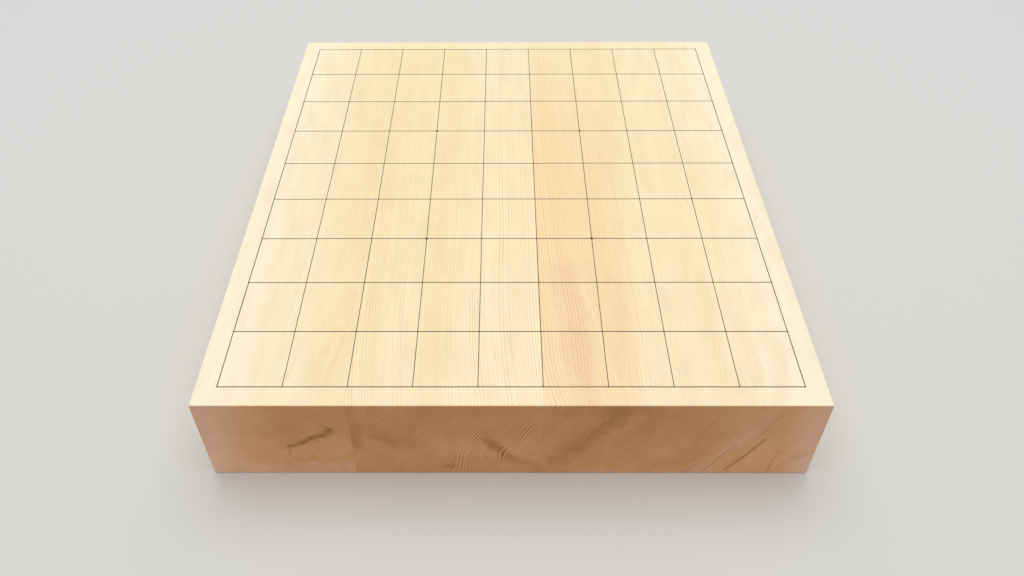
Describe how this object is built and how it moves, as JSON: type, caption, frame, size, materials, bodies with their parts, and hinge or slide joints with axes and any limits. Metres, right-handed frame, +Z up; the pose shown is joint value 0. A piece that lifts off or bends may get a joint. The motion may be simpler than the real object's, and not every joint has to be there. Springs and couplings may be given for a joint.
{
  "type": "shogi board",
  "caption": "Thick wooden table-top shogi board of three glued staves, with a nine by nine grid of raised dark lacquer lines and four star points.",
  "frame": {"origin": "middle of the underside, on the plane that the board rests on", "axes": "+Z up, the playing surface's normal; +X to the right of a player who sits at the near end, across the files; +Y away from that player, along the files and the grain"},
  "size_m": [0.333, 0.364, 0.0634],
  "materials": {
    "wood_left": "waxed satin, flat-sawn, soft pale bands",
    "wood_middle": "waxed satin, quarter-sawn, fine straight grain",
    "wood_right": "waxed satin, rift to flat-sawn, warmer, with a brown streak and pale sapwood at the edge",
    "glue": "dried clear glue, flush with the wood",
    "lacquer": "near-black lacquer, soft gloss, slightly raised"
  },
  "bodies": {
    "root": {"stave_left": "wood_left", "stave_middle": "wood_middle", "stave_right": "wood_right", "glue_line_left": "glue", "glue_line_right": "glue", "file_line_01": "lacquer", "file_line_02": "lacquer", "file_line_03": "lacquer", "file_line_04": "lacquer", "file_line_05": "lacquer", "file_line_06": "lacquer", "file_line_07": "lacquer", "file_line_08": "lacquer", "file_line_09": "lacquer", "file_line_10": "lacquer", "rank_line_01": "lacquer", "rank_line_02": "lacquer", "rank_line_03": "lacquer", "rank_line_04": "lacquer", "rank_line_05": "lacquer", "rank_line_06": "lacquer", "rank_line_07": "lacquer", "rank_line_08": "lacquer", "rank_line_09": "lacquer", "rank_line_10": "lacquer", "star_point_near_left": "lacquer", "star_point_near_right": "lacquer", "star_point_far_left": "lacquer", "star_point_far_right": "lacquer"}
  },
  "joints": []
}
